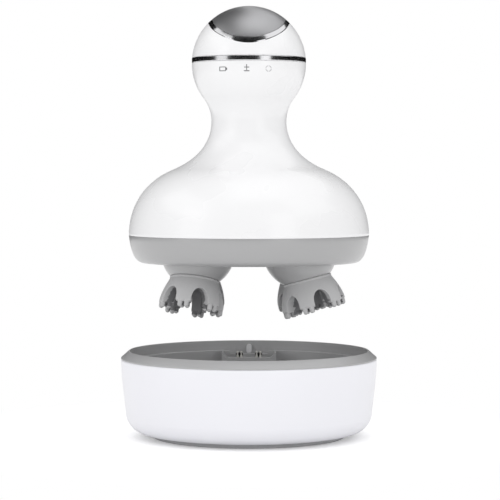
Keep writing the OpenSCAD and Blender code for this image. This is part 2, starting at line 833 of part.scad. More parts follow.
module lower_bushes() {
    color(brass) at_massager() at_heads() translate([0, 0, plate_h + 0.05])
        flanged_bush(shaft_r + slide_gap, bush_r, bush_r + 1, plate_t + bush_flange);
}

module upper_bushes() {
    color(brass) at_massager() at_heads() translate([0, 0, cover_h])
        flanged_bush(shaft_r + slide_gap, bush_r, bush_r + 1, cover_t + bush_flange + 0.05);
}

module drive_bush() {
    color(brass) at_massager() translate([0, 0, plate_h + 0.65])
        flanged_bush(motor_shaft_r + slide_gap, 4, 5, plate_t - 0.65 + bush_flange + 0.05);
}

module gear_cover() {
    color(dark) at_massager() difference() {
        union() {
            translate([0, 0, cover_h]) cylinder(r = cover_r, h = cover_t);
            at_pillars() translate([0, 0, plate_top]) cylinder(r = pillar_r, h = cover_h - plate_top + 1);
        }
        at_posts() translate([0, 0, cover_h - 1]) cylinder(r = post_r + 0.4, h = 10);
        at_heads() translate([0, 0, cover_h - 1]) cylinder(r = bush_r, h = 10);
        translate([0, 0, cover_h - 1]) cylinder(r = 4.6, h = 10);
        at_pillars() translate([0, 0, plate_h]) cylinder(r = 0.9, h = 8);
        at_motor_screws() translate([0, 0, cover_h - 1]) cylinder(r = motor_screw[0] + 0.15, h = 10);
    }
}

module plate_screws() {
    color(steel) at_massager() at_plate_bosses() translate([0, 0, plate_top + 1.6]) mirror([0, 0, 1])
        screw(plate_screw);
}

module cover_screws() {
    color(steel) at_massager() {
        at_pillars() translate([0, 0, plate_h - 1.1]) screw(cover_screw);
        at_motor_screws() translate([0, 0, cover_h - 1.1]) screw(motor_screw);
    }
}

module gearhead() {
    color(steel) at_massager() difference() {
        union() {
            translate([0, 0, cover_top]) cylinder(r = motor_r + 0.2, h = gearhead_len);
            translate([0, 0, cover_top - 1.2]) cylinder(r = 4.4, h = 2);
        }
        translate([0, 0, cover_h]) cylinder(r = motor_shaft_r + slide_gap, h = 8);
        at_motor_screws() translate([0, 0, cover_h]) cylinder(r = motor_screw[0] + 0.02, h = cover_t + 4);
    }
}

module motor() {
    color(steel) at_massager() {
        translate([0, 0, motor_h]) cylinder(r = motor_r, h = motor_len - 1);
        translate([0, 0, motor_top - 1]) cylinder(r1 = motor_r, r2 = motor_r - 1, h = 1);
        translate([0, 0, motor_top]) cylinder(r = 4, h = 1.5);
        for (s = [-1, 1]) translate([s * 7.5 - 0.25, -1.2, motor_top - 0.5]) cube([0.5, 2.4, 3]);
    }
}

module motor_sleeve() {
    color(dark) at_massager() translate([0, 0, motor_top - 4.7]) tube(neck_r - wall - 0.2, motor_r + 0.05, 6);
}

module motor_shaft() {
    color(steel) at_massager() translate([0, 0, plate_h + 0.7])
        cylinder(r = motor_shaft_r, h = cover_top + 4 - plate_h - 0.7);
}

module drive_gear() {
    color(soft_grey) at_massager() translate([0, 0, gear_h])
        gear(drive_teeth, motor_shaft_r + 0.02, 5.9, 1, 1.3);
}

// --- Ball: cell, boards and switch ---------------------------------------

module battery_cell() {
    color("steelblue") at_massager() {
        translate([0, 0, cell_h]) cylinder(r = cell_r, h = cell_len - 1);
        translate([0, 0, cell_top - 1]) cylinder(r = 2.8, h = 1);
    }
}

module cell_holder() {
    bore = cell_r + 0.15;
    color(dark) at_massager() {
        difference() {
            union() {
                translate([0, 0, cell_h - 1.2]) cylinder(r = bore + 1.4, h = board_h - cell_h + 1.2);
                translate([0, 0, neck_h + 6.7]) cylinder(r = neck_r - 0.95, h = 2);
                translate([0, 0, board_h - 5]) cylinder(r = bore + 3.4, h = 5);
                translate([-3, -icon_board_y + board_t, icon_h - 2]) cube([6, icon_board_y - board_t - 8, 4]);
            }
            translate([0, 0, cell_h]) cylinder(r = bore, h = board_h);
            translate([0, 0, cell_h - 2]) cylinder(r = 5, h = 4);
            translate([0, 0, board_h - 4.5]) at_board_screws() cylinder(r = 0.8, h = 6);
        }
    }
}

module at_board_screws() {
    for (s = [-1, 1]) translate([s * (cell_r + 1.9), 0, 0]) children();
}

module board_screws() {
    color(steel) at_massager() at_board_screws() translate([0, 0, board_top + 1.1]) mirror([0, 0, 1])
        screw(board_screw);
}

module control_board() {
    color(board_green) at_massager() translate([0, 0, board_h]) {
        difference() {
            cylinder(r = board_r, h = board_t);
            at_board_screws() translate([0, 0, -1]) cylinder(r = 1, h = 4);
        }
        translate([-9, 5, board_t]) cube([5, 4, 1.2]);
        translate([5, -8, board_t]) cube([3, 3, 1]);
    }
}

module button_switch() {
    color(dark) at_massager() translate([0, 0, board_top]) difference() {
        translate([-3, -3, 0]) cube([6, 6, switch_h]);
        translate([0, 0, switch_h - plunger_sink - button_travel - 0.1]) cylinder(r = 1.7, h = 5);
    }
}

module switch_plunger() {
    color("black") at_massager() translate([0, 0, switch_top - plunger_sink])
        cylinder(r = 1.6, h = plunger_sink + plunger_rise);
}

module indicator_board() {
    color(board_green) at_massager() translate([-13, -icon_board_y, icon_h - 3.5]) cube([26, board_t, 7]);
}

module light_guides() {
    color("ivory") at_massager() for (x = [-11.5, -1, 8.8]) {
        reach = sqrt((collar_r - 0.2)^2 - (abs(x) + 1.2)^2);
        translate([x, -icon_board_y, icon_h]) rotate([90, 0, 0]) cylinder(r = 1.2, h = reach - icon_board_y);
    }
}

// --- Nodes --------------------------------------------------------------

base_shell();
base_liner();
base_foot();
base_screws();
usb_board();
usb_socket();
charge_board();
pin_carrier();
pin_barrels();
pin(0);  // pin_1
pin(1);  // pin_2
pin(2);  // pin_3
pin(3);  // pin_4
lower_housing();
upper_housing();
housing_seal();
case_screws();
contact_pads();
bearing_plate();
gear_cover();
shaft_seals();
lower_bushes();
upper_bushes();
drive_bush();
plate_screws();
cover_screws();
gearhead();
motor();
motor_sleeve();
motor_shaft();
drive_gear();
for (i = [0:3]) {
    turret(i);
    head_shaft(i);
    head_gear(i);
    claw(i);
}
battery_cell();
cell_holder();
control_board();
board_screws();
button_switch();
switch_plunger();
indicator_board();
light_guides();
trim_ring();
top_cover();
button_bezel();
power_button();
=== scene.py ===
"""Dress a hand-held scalp massager, lifted off its charging base.

The massager is a white bell with a ball grip, a plated trim ring and a saddle-shaped
button on top. Four grey turrets turn in its underside, each with a leaning claw of
silicone. The base is a white bowl with a grey liner that the massager stands in.
Sizes are in millimetres up to the moment a mesh is made, and places come from the frame.
"""

from __future__ import annotations

import logging
import math
from collections.abc import Callable, Sequence
from dataclasses import dataclass
from enum import Enum

import bpy
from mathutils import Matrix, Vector

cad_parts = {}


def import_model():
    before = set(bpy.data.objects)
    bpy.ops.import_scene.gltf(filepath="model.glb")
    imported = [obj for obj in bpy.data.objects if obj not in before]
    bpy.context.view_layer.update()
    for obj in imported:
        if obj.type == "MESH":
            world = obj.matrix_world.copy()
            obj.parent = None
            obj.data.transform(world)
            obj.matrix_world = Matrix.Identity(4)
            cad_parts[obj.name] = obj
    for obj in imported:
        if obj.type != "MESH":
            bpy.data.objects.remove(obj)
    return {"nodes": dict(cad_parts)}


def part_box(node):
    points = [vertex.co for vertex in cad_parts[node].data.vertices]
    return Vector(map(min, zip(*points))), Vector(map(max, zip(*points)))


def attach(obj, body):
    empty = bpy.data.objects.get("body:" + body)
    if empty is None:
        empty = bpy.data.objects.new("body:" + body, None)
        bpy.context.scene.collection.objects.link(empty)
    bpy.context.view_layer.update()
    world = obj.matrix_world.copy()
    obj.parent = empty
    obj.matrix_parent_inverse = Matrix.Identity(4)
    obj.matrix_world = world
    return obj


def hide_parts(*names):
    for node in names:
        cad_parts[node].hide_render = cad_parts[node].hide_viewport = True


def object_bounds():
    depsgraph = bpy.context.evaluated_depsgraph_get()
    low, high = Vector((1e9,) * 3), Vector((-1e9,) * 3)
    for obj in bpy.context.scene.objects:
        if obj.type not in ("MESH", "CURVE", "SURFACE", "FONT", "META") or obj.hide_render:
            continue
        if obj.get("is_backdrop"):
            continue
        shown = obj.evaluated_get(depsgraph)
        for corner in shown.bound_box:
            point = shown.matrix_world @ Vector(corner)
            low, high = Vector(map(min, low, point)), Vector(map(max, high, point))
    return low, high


LOG = logging.getLogger("scalp_massager")
MM = 0.001
TURN = 2.0 * math.pi
WHITE = (1.0, 1.0, 1.0, 1.0)
HEADS = ("front_left", "front_right", "back_left", "back_right")
Outline = list[tuple[float, float]]
Form = Callable[[float, float], Vector]
Section = Callable[[float], Outline]


# --- Bench: operators used as by hand -----------------------------------------


class Bench:
    """Mesh operators with a clean selection before each step."""

    @staticmethod
    def clear() -> None:
        """Leave edit mode and let go of everything."""
        if bpy.context.object and bpy.context.object.mode != "OBJECT":
            bpy.ops.object.mode_set(mode="OBJECT")
        bpy.ops.object.select_all(action="DESELECT")

    @classmethod
    def take(cls, piece: bpy.types.Object) -> None:
        """Select one piece and make it active."""
        cls.clear()
        piece.select_set(True)
        bpy.context.view_layer.objects.active = piece

    @classmethod
    def edit(cls, piece: bpy.types.Object, select: str = "SELECT") -> None:
        """Open one piece in edit mode.

        Args:
            piece: the piece to open.
            select: what happens to its vertices, SELECT or DESELECT.
        """
        cls.take(piece)
        bpy.ops.object.mode_set(mode="EDIT")
        bpy.ops.mesh.select_mode(type="VERT")
        bpy.ops.mesh.select_all(action=select)

    @classmethod
    def finish(cls, piece: bpy.types.Object, angle: float = 35.0) -> bpy.types.Object:
        """Put a piece's place into its mesh and shade it smooth up to an angle.

        Args:
            piece: the piece to finish.
            angle: edges sharper than this many degrees stay crisp.

        Returns:
            The same piece, at the origin, unturned and unscaled.
        """
        cls.take(piece)
        bpy.ops.object.transform_apply(location=True, rotation=True, scale=True)
        bpy.ops.object.shade_smooth_by_angle(angle=math.radians(angle))
        return piece

    @classmethod
    def apply(cls, piece: bpy.types.Object, kind: str, **settings: object) -> None:
        """Add a modifier with its settings and apply it.

        Args:
            piece: the piece to change.
            kind: the modifier's type.
            settings: values of the modifier's own properties.
        """
        cls.take(piece)
        modifier = piece.modifiers.new(kind.title(), kind)
        for name, value in settings.items():
            setattr(modifier, name, value)
        bpy.ops.object.modifier_apply(modifier=modifier.name)

    @classmethod
    def soften(cls, piece: bpy.types.Object, width: float, angle: float = 40.0, segments: int = 3) -> None:
        """Round the edges of a piece that are sharper than an angle.

        Args:
            piece: the piece to change.
            width: width of the rounding, in millimetres.
            angle: the sharpness in degrees from which edges are rounded.
            segments: faces across the rounding.
        """
        cls.apply(piece, "BEVEL", width=width * MM, segments=segments, limit_method="ANGLE",
                  angle_limit=math.radians(angle), use_clamp_overlap=True, harden_normals=False)

    @classmethod
    def wrapped(cls, name: str, across: int, along: int, form: Form) -> bpy.types.Object:
        """Lay a grid over a form, then close its seams and poles.

        Args:
            name: the piece's name.
            across: faces in the first direction.
            along: faces in the second direction.
            form: gives a point, in millimetres, for two shares from 0 to 1.

        Returns:
            The new piece.
        """
        cls.clear()
        bpy.ops.mesh.primitive_grid_add(x_subdivisions=across, y_subdivisions=along, size=1.0,
                                        location=(0.5, 0.5, 0.0))
        piece = bpy.context.object
        piece.name = name
        bpy.ops.object.transform_apply(location=True, rotation=True, scale=True)
        for vertex in piece.data.vertices:
            vertex.co = form(vertex.co.x, vertex.co.y) * MM
        cls.edit(piece)
        bpy.ops.mesh.remove_doubles(threshold=0.002 * MM)
        bpy.ops.mesh.dissolve_degenerate(threshold=0.001 * MM)
        bpy.ops.mesh.normals_make_consistent(inside=False)
        bpy.ops.object.mode_set(mode="OBJECT")
        return piece

    @classmethod
    def spun(cls, name: str, outline: Outline, steps: int = 192) -> bpy.types.Object:
        """Draw an outline point by point and spin it about the upright axis.

        Args:
            name: the piece's name.
            outline: radius and height of each point, in millimetres, closed by its last point.
            steps: faces round the turn.

        Returns:
            The new piece.
        """
        cls.clear()
        bpy.ops.mesh.primitive_plane_add(size=MM)
        piece = bpy.context.object
        piece.name = name
        cls.edit(piece)
        bpy.ops.mesh.merge(type="CENTER")
        points = [Vector((r, 0.0, z)) * MM for r, z in outline]
        bpy.ops.transform.translate(value=points[0])
        for start, end in zip(points, points[1:]):
            bpy.ops.mesh.extrude_vertices_move(TRANSFORM_OT_translate={"value": end - start})
        bpy.ops.mesh.select_all(action="SELECT")
        bpy.ops.mesh.spin(steps=steps, angle=TURN, center=(0.0, 0.0, 0.0), axis=(0.0, 0.0, 1.0))
        bpy.ops.mesh.select_all(action="SELECT")
        bpy.ops.mesh.remove_doubles(threshold=0.002 * MM)
        bpy.ops.mesh.dissolve_degenerate(threshold=0.001 * MM)
        bpy.ops.mesh.normals_make_consistent(inside=False)
        bpy.ops.object.mode_set(mode="OBJECT")
        return piece

    @classmethod
    def copied(cls, name: str, node: bpy.types.Object) -> bpy.types.Object:
        """Copy a frame node as a welded mesh of its own.

        Args:
            name: the copy's name.
            node: the frame node to copy.

        Returns:
            The copy, with its coplanar triangles joined.
        """
        cls.clear()
        piece = bpy.data.objects.new(name, node.data.copy())
        bpy.context.scene.collection.objects.link(piece)
        cls.edit(piece)
        bpy.ops.mesh.customdata_custom_splitnormals_clear()
        bpy.ops.mesh.remove_doubles(threshold=0.002 * MM)
        bpy.ops.mesh.dissolve_limited(angle_limit=math.radians(0.3))
        bpy.ops.object.mode_set(mode="OBJECT")
        return piece

    @classmethod
    def bar(cls, name: str, middle: tuple[float, float, float], size: tuple[float, float, float],
            corner: float = 0.0) -> bpy.types.Object:
        """Make a bar whose four edges along Y are rounded.

        Args:
            name: the bar's name.
            middle: its middle, in millimetres.
            size: its length along X, Y and Z, in millimetres.
            corner: radius of the rounded edges, in millimetres.

        Returns:
            The new piece.
        """
        cls.clear()
        bpy.ops.mesh.primitive_cube_add(size=1.0, location=Vector(middle) * MM)
        piece = bpy.context.object
        piece.name = name
        piece.scale = Vector(size) * MM
        bpy.ops.object.transform_apply(location=True, rotation=True, scale=True)
        if corner > 0.0:
            cls.edit(piece, "DESELECT")
            bpy.ops.mesh.select_mode(type="EDGE")
            bpy.ops.object.mode_set(mode="OBJECT")
            corners = piece.data.vertices
            for edge in piece.data.edges:
                start, end = (corners[i].co for i in edge.vertices)
                edge.select = abs(start.x - end.x) + abs(start.z - end.z) < 0.01 * MM
            bpy.ops.object.mode_set(mode="EDIT")
            bpy.ops.mesh.bevel(offset=corner * MM, segments=10, clamp_overlap=True)
            bpy.ops.object.mode_set(mode="OBJECT")
        return piece

    @classmethod
    def cut(cls, piece: bpy.types.Object, *cutters: bpy.types.Object) -> None:
        """Take the space of other pieces out of one, and remove them.

        Args:
            piece: the piece that is cut.
            cutters: the pieces whose space is taken out.
        """
        for cutter in cutters:
            cls.apply(piece, "BOOLEAN", object=cutter, operation="DIFFERENCE", solver="EXACT")
            bpy.data.objects.remove(cutter, do_unlink=True)


def curve(p: Sequence[Vector], steps: int) -> list[Vector]:
    """Points along a cubic curve, both ends included.

    Args:
        p: its four control points.
        steps: how many stretches it is cut into.

    Returns:
        The points.
    """
    points = []
    for i in range(steps + 1):
        t = i / steps
        rest = 1 - t
        points.append(rest**3 * p[0] + 3 * rest**2 * t * p[1] + 3 * rest * t**2 * p[2] + t**3 * p[3])
    return points


def arc(centre: tuple[float, float], radius: float, start: float, end: float, steps: int) -> Outline:
    """Points along an arc, angles in degrees, both ends included.

    Args:
        centre: the arc's centre.
        radius: its radius.
        start: angle of the first point.
        end: angle of the last point.
        steps: how many stretches it is cut into.

    Returns:
        The points.
    """
    angles = [math.radians(start + (end - start) * i / steps) for i in range(steps + 1)]
    return [(centre[0] + radius * math.cos(a), centre[1] + radius * math.sin(a)) for a in angles]


# --- Finishes ------------------------------------------------------------------


def linear(code: str) -> tuple[float, float, float, float]:
    """Turn an sRGB hex colour such as #F2F2F4 into linear values with full alpha."""
    parts = [int(code.lstrip("#")[i : i + 2], 16) / 255.0 for i in (0, 2, 4)]
    return (*[c / 12.92 if c <= 0.04045 else ((c + 0.055) / 1.055) ** 2.4 for c in parts], 1.0)


def add_node(tree: bpy.types.NodeTree, kind: str, values: dict | None = None, links: dict | None = None,
             **settings: object) -> bpy.types.Node:
    """Add a shader node with its settings, input values and incoming links.

    Args:
        tree: the node tree.
        kind: the node's type.
        values: input name or number to value.
        links: input name or number to the output socket that feeds it.
        settings: the node's own properties.

    Returns:
        The node.
    """
    node = tree.nodes.new(kind)
    for name, value in settings.items():
        setattr(node, name, value)
    for key, value in (values or {}).items():
        node.inputs[key].default_value = value
    for key, socket in (links or {}).items():
        tree.links.new(socket, node.inputs[key])
    return node


@dataclass(frozen=True)
class Finish:
    """A surface: what it is made of, how it was made and how it meets the light.

    grain_mm is the width of its grain and grain_depth_mm its height. cloud_mm is the
    width of slow changes in its colour and gloss, as flow in the mould leaves them.
    """

    name: str
    colour: str
    roughness: float
    ior: float = 1.5
    metallic: float = 0.0
    coat: float = 0.0
    coat_roughness: float = 0.08
    sheen: float = 0.0
    grain_mm: float = 0.35
    grain_depth_mm: float = 0.004
    cloud_mm: float = 25.0
    cloud_share: float = 0.04
    gloss_spread: float = 0.03

    def material(self) -> bpy.types.Material:
        """Build the finish's material once and give it back when asked again.

        Returns:
            The material.
        """
        known = bpy.data.materials.get(self.name)
        if known:
            return known
        material = bpy.data.materials.new(self.name)
        material.use_nodes = True
        tree = material.node_tree
        tree.nodes.clear()
        place = add_node(tree, "ShaderNodeTexCoord").outputs["Object"]
        cloud = add_node(tree, "ShaderNodeTexNoise", {"Scale": 1.0 / (self.cloud_mm * MM), "Detail": 2.0},
                         {"Vector": place})
        grain = add_node(tree, "ShaderNodeTexNoise", {"Scale": 1.0 / (self.grain_mm * MM), "Detail": 3.0},
                         {"Vector": place})
        full = linear(self.colour)
        dim = (*[c * (1.0 - self.cloud_share) for c in full[:3]], 1.0)
        tint = add_node(tree, "ShaderNodeMix", data_type="RGBA", links={0: cloud.outputs["Fac"]})
        tint.inputs[6].default_value = dim
        tint.inputs[7].default_value = full
        gloss = add_node(tree, "ShaderNodeMapRange", {
            "From Min": 0.0, "From Max": 1.0, "To Min": max(self.roughness - 2.0 * self.gloss_spread, 0.02),
            "To Max": self.roughness + 2.0 * self.gloss_spread}, {"Value": cloud.outputs["Fac"]})
        bump = add_node(tree, "ShaderNodeBump", {"Strength": 0.6, "Distance": self.grain_depth_mm * MM},
                        {"Height": grain.outputs["Fac"]})
        shader = add_node(tree, "ShaderNodeBsdfPrincipled", {
            "IOR": self.ior, "Metallic": self.metallic, "Sheen Weight": self.sheen,
            "Coat Weight": self.coat, "Coat Roughness": self.coat_roughness}, {
            "Base Color": tint.outputs[2], "Roughness": gloss.outputs[0], "Normal": bump.outputs["Normal"]})
        add_node(tree, "ShaderNodeOutputMaterial", links={"Surface": shader.outputs[0]})
        return material

    def onto(self, *pieces: bpy.types.Object) -> None:
        """Give pieces this finish and no other."""
        for piece in pieces:
            piece.data.materials.clear()
            piece.data.materials.append(self.material())


class Finishes(Enum):
    """The finishes of this massager and its base."""

    # ABS moulded in a polished tool: clean white with a clear, slightly soft reflection
    BODY = Finish("polished_white_abs", "#F3F3F4", 0.28, 1.5, coat=0.1, grain_depth_mm=0.0015,
                  cloud_share=0.015)
    # The same plastic in a cooler batch, as the base shell shows
    SHELL = Finish("polished_cool_white_abs", "#F0F0F5", 0.3, 1.5, coat=0.1, grain_depth_mm=0.0015,
                   cloud_share=0.015)
    # Grey ABS from a finely blasted tool: soft highlights and a fine even grain
    HOUSING = Finish("satin_grey_abs", "#A9A9AA", 0.34, 1.54, coat=1.0, coat_roughness=0.3, grain_mm=0.5,
                     grain_depth_mm=0.006)
    # Painted light: the same grey made paler where the liner lies deep in the base, against the shade there
    LINER = Finish("satin_grey_abs_liner", "#B0B0B1", 0.4, 1.54, coat=0.5, coat_roughness=0.35, grain_mm=0.5,
                   grain_depth_mm=0.008)
    # Painted light: the key on the back wall gets a paler grey than the liner, so that it looks lit
    KEY = Finish("satin_grey_abs_painted_light", "#DCDCDE", 0.4, 1.54, grain_mm=0.5, grain_depth_mm=0.006)
    # Liquid silicone rubber from a spark-eroded tool: dull sheen that catches on rounded edges
    SILICONE = Finish("moulded_grey_silicone", "#B6B6B7", 0.45, 1.43, sheen=0.1, grain_mm=0.4,
                      grain_depth_mm=0.008)
    # Painted shade: a darker grey for the claws' inner faces, where shade falls inside the arches
    CORE = Finish("painted_cavity_shade_grey", "#767678", 0.5, 1.45, grain_mm=0.4, grain_depth_mm=0.008)
    # Chromium plate over ABS from a smooth tool: a mirror that blurs a little
    PLATE = Finish("bright_chromium_plate", "#E6E6E8", 0.17, metallic=1.0, grain_depth_mm=0.0,
                   cloud_share=0.01, gloss_spread=0.01)
    # Silver metallic paint under clear lacquer: satin with a broad, soft highlight
    SILVER = Finish("satin_silver_paint", "#B6B6B8", 0.42, metallic=0.9, grain_mm=0.12, grain_depth_mm=0.004)
    # Silk-screened ink, dull on the gloss around it
    INK = Finish("printed_grey_ink", "#6E6E70", 0.6, grain_depth_mm=0.0, cloud_share=0.0)
    # The ring is printed in a lighter ink than its neighbours
    PALE_INK = Finish("printed_pale_ink", "#B4B4B6", 0.6, grain_depth_mm=0.0, cloud_share=0.0)
    # Synthetic rubber, matt and slightly rough, for the foot and the seals. The foot's grey is pale as
    # painted light, so that it stays light in the shadow under the base.
    RUBBER = Finish("matt_grey_rubber", "#C6C6C8", 0.7, grain_mm=0.6, grain_depth_mm=0.02)
    DARK_RUBBER = Finish("matt_black_rubber", "#1E1E1F", 0.65, grain_mm=0.6, grain_depth_mm=0.015)
    # Glass-filled nylon inside the housing
    NYLON = Finish("moulded_black_nylon", "#2B2B2D", 0.5, grain_mm=0.5, grain_depth_mm=0.01)
    # Natural acetal, as gears are moulded from
    ACETAL = Finish("moulded_natural_acetal", "#E6E3DA", 0.35)
    # Ground and machined steel
    STEEL = Finish("ground_steel", "#B9BABD", 0.28, metallic=1.0, grain_mm=0.15, grain_depth_mm=0.003)
    # Sintered bronze bushes
    BRONZE = Finish("sintered_bronze", "#B48A4A", 0.4, metallic=1.0, grain_mm=0.2, grain_depth_mm=0.006)
    # Turned pins with a bright hard plating
    CONTACT = Finish("bright_plated_contact", "#EDEBE6", 0.35, metallic=0.6, grain_mm=0.15,
                     grain_depth_mm=0.001)
    # Glass-fibre board under green solder mask
    BOARD = Finish("green_mask_board", "#1F5B3A", 0.35, coat=0.3, grain_mm=0.8, grain_depth_mm=0.01)
    # Shrink film round the cell
    WRAP = Finish("blue_shrink_film", "#2E5F8F", 0.3)
    # Clear acrylic guides, frosted at their ends
    ACRYLIC = Finish("frosted_acrylic", "#EDEDEA", 0.35, 1.49)


# --- Massager ------------------------------------------------------------------


@dataclass(frozen=True)
class Oval:
    """The button opening: four arcs that meet without a corner, seen from above.

    Sizes are in millimetres: half width, half length and the radius of the ends.
    """

    half_width: float = 18.7
    half_length: float = 24.8
    end_radius: float = 18.0

    @property
    def end_y(self) -> float:
        """How far the end arcs' centres lie from the middle."""
        return self.half_length - self.end_radius

    @property
    def side_radius(self) -> float:
        """Radius of the two long arcs."""
        a, e, r = self.half_width, self.end_y, self.end_radius
        return (a * a + e * e - r * r) / (2.0 * (a - r))

    def reach(self, angle: float, inset: float = 0.0) -> float:
        """Distance from the middle to the edge in one direction.

        Args:
            angle: the direction, in radians from +X.
            inset: how far inside the edge.

        Returns:
            The distance in millimetres.
        """
        c, s = abs(math.cos(angle)), abs(math.sin(angle))
        long_r = self.side_radius - inset
        back = self.side_radius - self.half_width
        side = -back * c + math.sqrt(long_r**2 - (back * s) ** 2)
        meet = long_r * self.end_y / math.hypot(self.end_y, back)
        if side * s <= meet:
            return side
        return self.end_y * s + math.sqrt((self.end_radius - inset) ** 2 - (self.end_y * c) ** 2)


@dataclass
class Massager:
    """The white body, its trim and its button.

    Sizes are in millimetres and heights are above the underside. hang is the underside's
    height above the table. The pulls are the handle lengths of the two curves that meet at
    the shoulder, and shoulder_fall is their common direction there in degrees.
    """

    hang: float
    bell_r: float = 55.2
    seam_h: float = 12.4
    shoulder_r: float = 35.1
    shoulder_h: float = 42.5
    neck_r: float = 17.2
    neck_h: float = 64.8
    shoulder_fall: float = 67.5
    bell_pulls: tuple[float, float] = (16.1, 11.1)
    neck_pulls: tuple[float, float] = (10.3, 11.3)
    ball_r: float = 26.2
    ball_h: float = 91.3
    wall: float = 2.0
    trim_low: float = 91.4
    trim_h: float = 2.4
    trim_t: float = 2.4
    bezel_w: float = 2.3
    bezel_proud: float = 0.04
    button_gap: float = 0.08
    button_proud: float = 0.05
    button_roll: float = 0.3
    button_t: float = 1.8
    sign_h: float = 87.7
    oval: Oval = Oval()

    def body_outline(self, inset: float) -> Outline:
        """Bell, neck and ball from the seam up to the trim ring.

        Args:
            inset: how far inside the surface.

        Returns:
            Radius and height of each point.
        """
        fall = math.radians(self.shoulder_fall)
        slope = Vector((math.sin(fall), -math.cos(fall)))
        turn = Vector((self.shoulder_r, self.shoulder_h))
        foot, throat_foot = Vector((self.bell_r, self.seam_h)), Vector((self.neck_r, self.neck_h))
        bell = [foot, foot + Vector((0.0, self.bell_pulls[0])), turn + self.bell_pulls[1] * slope, turn]
        neck = [turn, turn - self.neck_pulls[0] * slope, throat_foot - Vector((0.0, self.neck_pulls[1])),
                throat_foot]
        points = curve(bell, 36) + curve(neck, 36)[1:]
        rise = self.ball_h - self.neck_h
        throat = (self.neck_r**2 + rise**2 - self.ball_r**2) / (2.0 * (self.ball_r - self.neck_r))
        middle = (self.neck_r + throat, self.neck_h)
        bend = math.degrees(math.atan2(rise, middle[0]))
        points += [Vector(p) for p in arc(middle, throat, 180.0, 180.0 - bend, 18)[1:]]
        top = math.degrees(math.asin((self.trim_low - self.ball_h) / self.ball_r))
        points += [Vector(p) for p in arc((0.0, self.ball_h), self.ball_r, -bend, top, 24)[1:]]
        moved = []
        for i, point in enumerate(points):
            run = points[min(i + 1, len(points) - 1)] - points[max(i - 1, 0)]
            moved.append(point + inset * Vector((-run.y, run.x)).normalized())
        return [(p.x, p.y + self.hang) for p in moved]

    def upper_housing(self) -> bpy.types.Object:
        """Bell, neck and lower half of the ball, as one moulded shell.

        Returns:
            The shell, with its edges at the seam and the trim broken.
        """
        outer, inner = self.body_outline(0.0), self.body_outline(self.wall)
        seam = self.hang + self.seam_h
        brim = self.hang + self.trim_low
        skin = [(self.bell_r - 0.35, seam), (self.bell_r - 0.1, seam + 0.1), (self.bell_r, seam + 0.35)]
        skin += [p for p in outer[1:-1] if seam + 0.4 < p[1] < brim - 0.3]
        skin += [(self.ball_r - 0.08, brim - 0.08), (self.ball_r - 0.25, brim)]
        ends = [(inner[-1][0], brim), *reversed(inner[1:-1]), (inner[0][0], seam)]
        piece = Bench.spun("upper_housing_shell", [*skin, *ends, skin[0]])
        return Bench.finish(piece, 50.0)

    def trim_ring(self) -> bpy.types.Object:
        """Plated band between the two halves of the ball, flat with rounded edges.

        Returns:
            The band.
        """
        low, high = self.hang + self.trim_low, self.hang + self.trim_low + self.trim_h
        shares = [math.sin(math.radians(a)) for a in range(-84, 85, 7)]
        face, edge, back = self.ball_r - 0.02, self.ball_r - 0.4, self.ball_r - self.trim_t
        crown = [(face - 0.3 * abs(s) ** 10, low + self.trim_h * (0.5 + 0.5 * s)) for s in shares]
        low, high = low + 0.05, high - 0.05
        outline = [(back, low), (edge, low), *crown, (edge, high), (back, high), (back, low)]
        return Bench.finish(Bench.spun("trim_ring_band", outline), 50.0)

    def lofted(self, name: str, section: Section, steps: int = 240) -> bpy.types.Object:
        """Carry a changing section once round the upright axis.

        Args:
            name: the piece's name.
            section: gives radius and height of the section's points in one direction.
            steps: faces round the turn.

        Returns:
            The new piece.
        """
        rows = [section(TURN * i / steps) for i in range(steps)]
        count = len(rows[0]) - 1
        level = self.hang + self.ball_h

        def form(u: float, v: float) -> Vector:
            turn = round(u * steps) % steps
            radius, height = rows[turn][round(v * count)]
            angle = TURN * turn / steps
            return Vector((radius * math.cos(angle), radius * math.sin(angle), height + level))

        return Bench.wrapped(name, steps, count, form)

    def top_cover(self) -> bpy.types.Object:
        """Upper half of the ball with the saddle-shaped opening for the button.

        Returns:
            The cover, its opening edge rolled inwards.
        """
        foot = self.trim_low + self.trim_h - self.ball_h

        def section(angle: float) -> Outline:
            edge = self.oval.reach(angle) + 0.05
            low = math.degrees(math.asin((foot + 0.15) / self.ball_r))
            high = math.degrees(math.acos((edge + 0.08) / self.ball_r))
            skin = arc((0.0, 0.0), self.ball_r, low, high, 28)
            top = skin[-1][1]
            lip = [(edge + 0.02, top - 0.01), (edge, top - 0.06), (edge, top - 1.8)]
            inner = self.ball_r - self.wall
            under = min(math.degrees(math.acos(min((edge + 0.35) / inner, 0.999))), high)
            floor = math.degrees(math.asin((foot + 0.1) / inner))
            start = (inner, foot)
            inside = arc((0.0, 0.0), inner, under, floor, 8)
            return [start, (self.ball_r - 0.35, foot), *skin, *lip, *inside, start]

        return Bench.finish(self.lofted("top_cover_shell", section), 50.0)

    def bezel_reach(self, angle: float) -> float:
        """Distance from the upright axis to the bezel's inner edge in one direction."""
        outer = math.acos(self.oval.reach(angle) / self.ball_r)
        return self.ball_r * math.cos(outer + self.bezel_w / self.ball_r)

    def button_bezel(self) -> bpy.types.Object:
        """Plated bezel round the button, an even band that follows the saddle.

        Returns:
            The bezel.
        """

        def section(angle: float) -> Outline:
            outer = self.oval.reach(angle, 0.03)
            inner = self.bezel_reach(angle)
            start, end = (math.degrees(math.acos(reach / self.ball_r)) for reach in (outer, inner))
            band = arc((0.0, 0.0), self.ball_r + self.bezel_proud, start, end, 12)
            low, high = band[0][1], band[-1][1]
            return [*band, (inner, high - 0.4), (inner, high - 2.2), (outer, low - 1.6), band[0]]

        return Bench.finish(self.lofted("button_bezel_bead", section), 60.0)

    def power_button(self) -> bpy.types.Object:
        """Silver cap: a crowned dome whose edge rolls down into the bezel.

        Returns:
            The cap, closed below.
        """

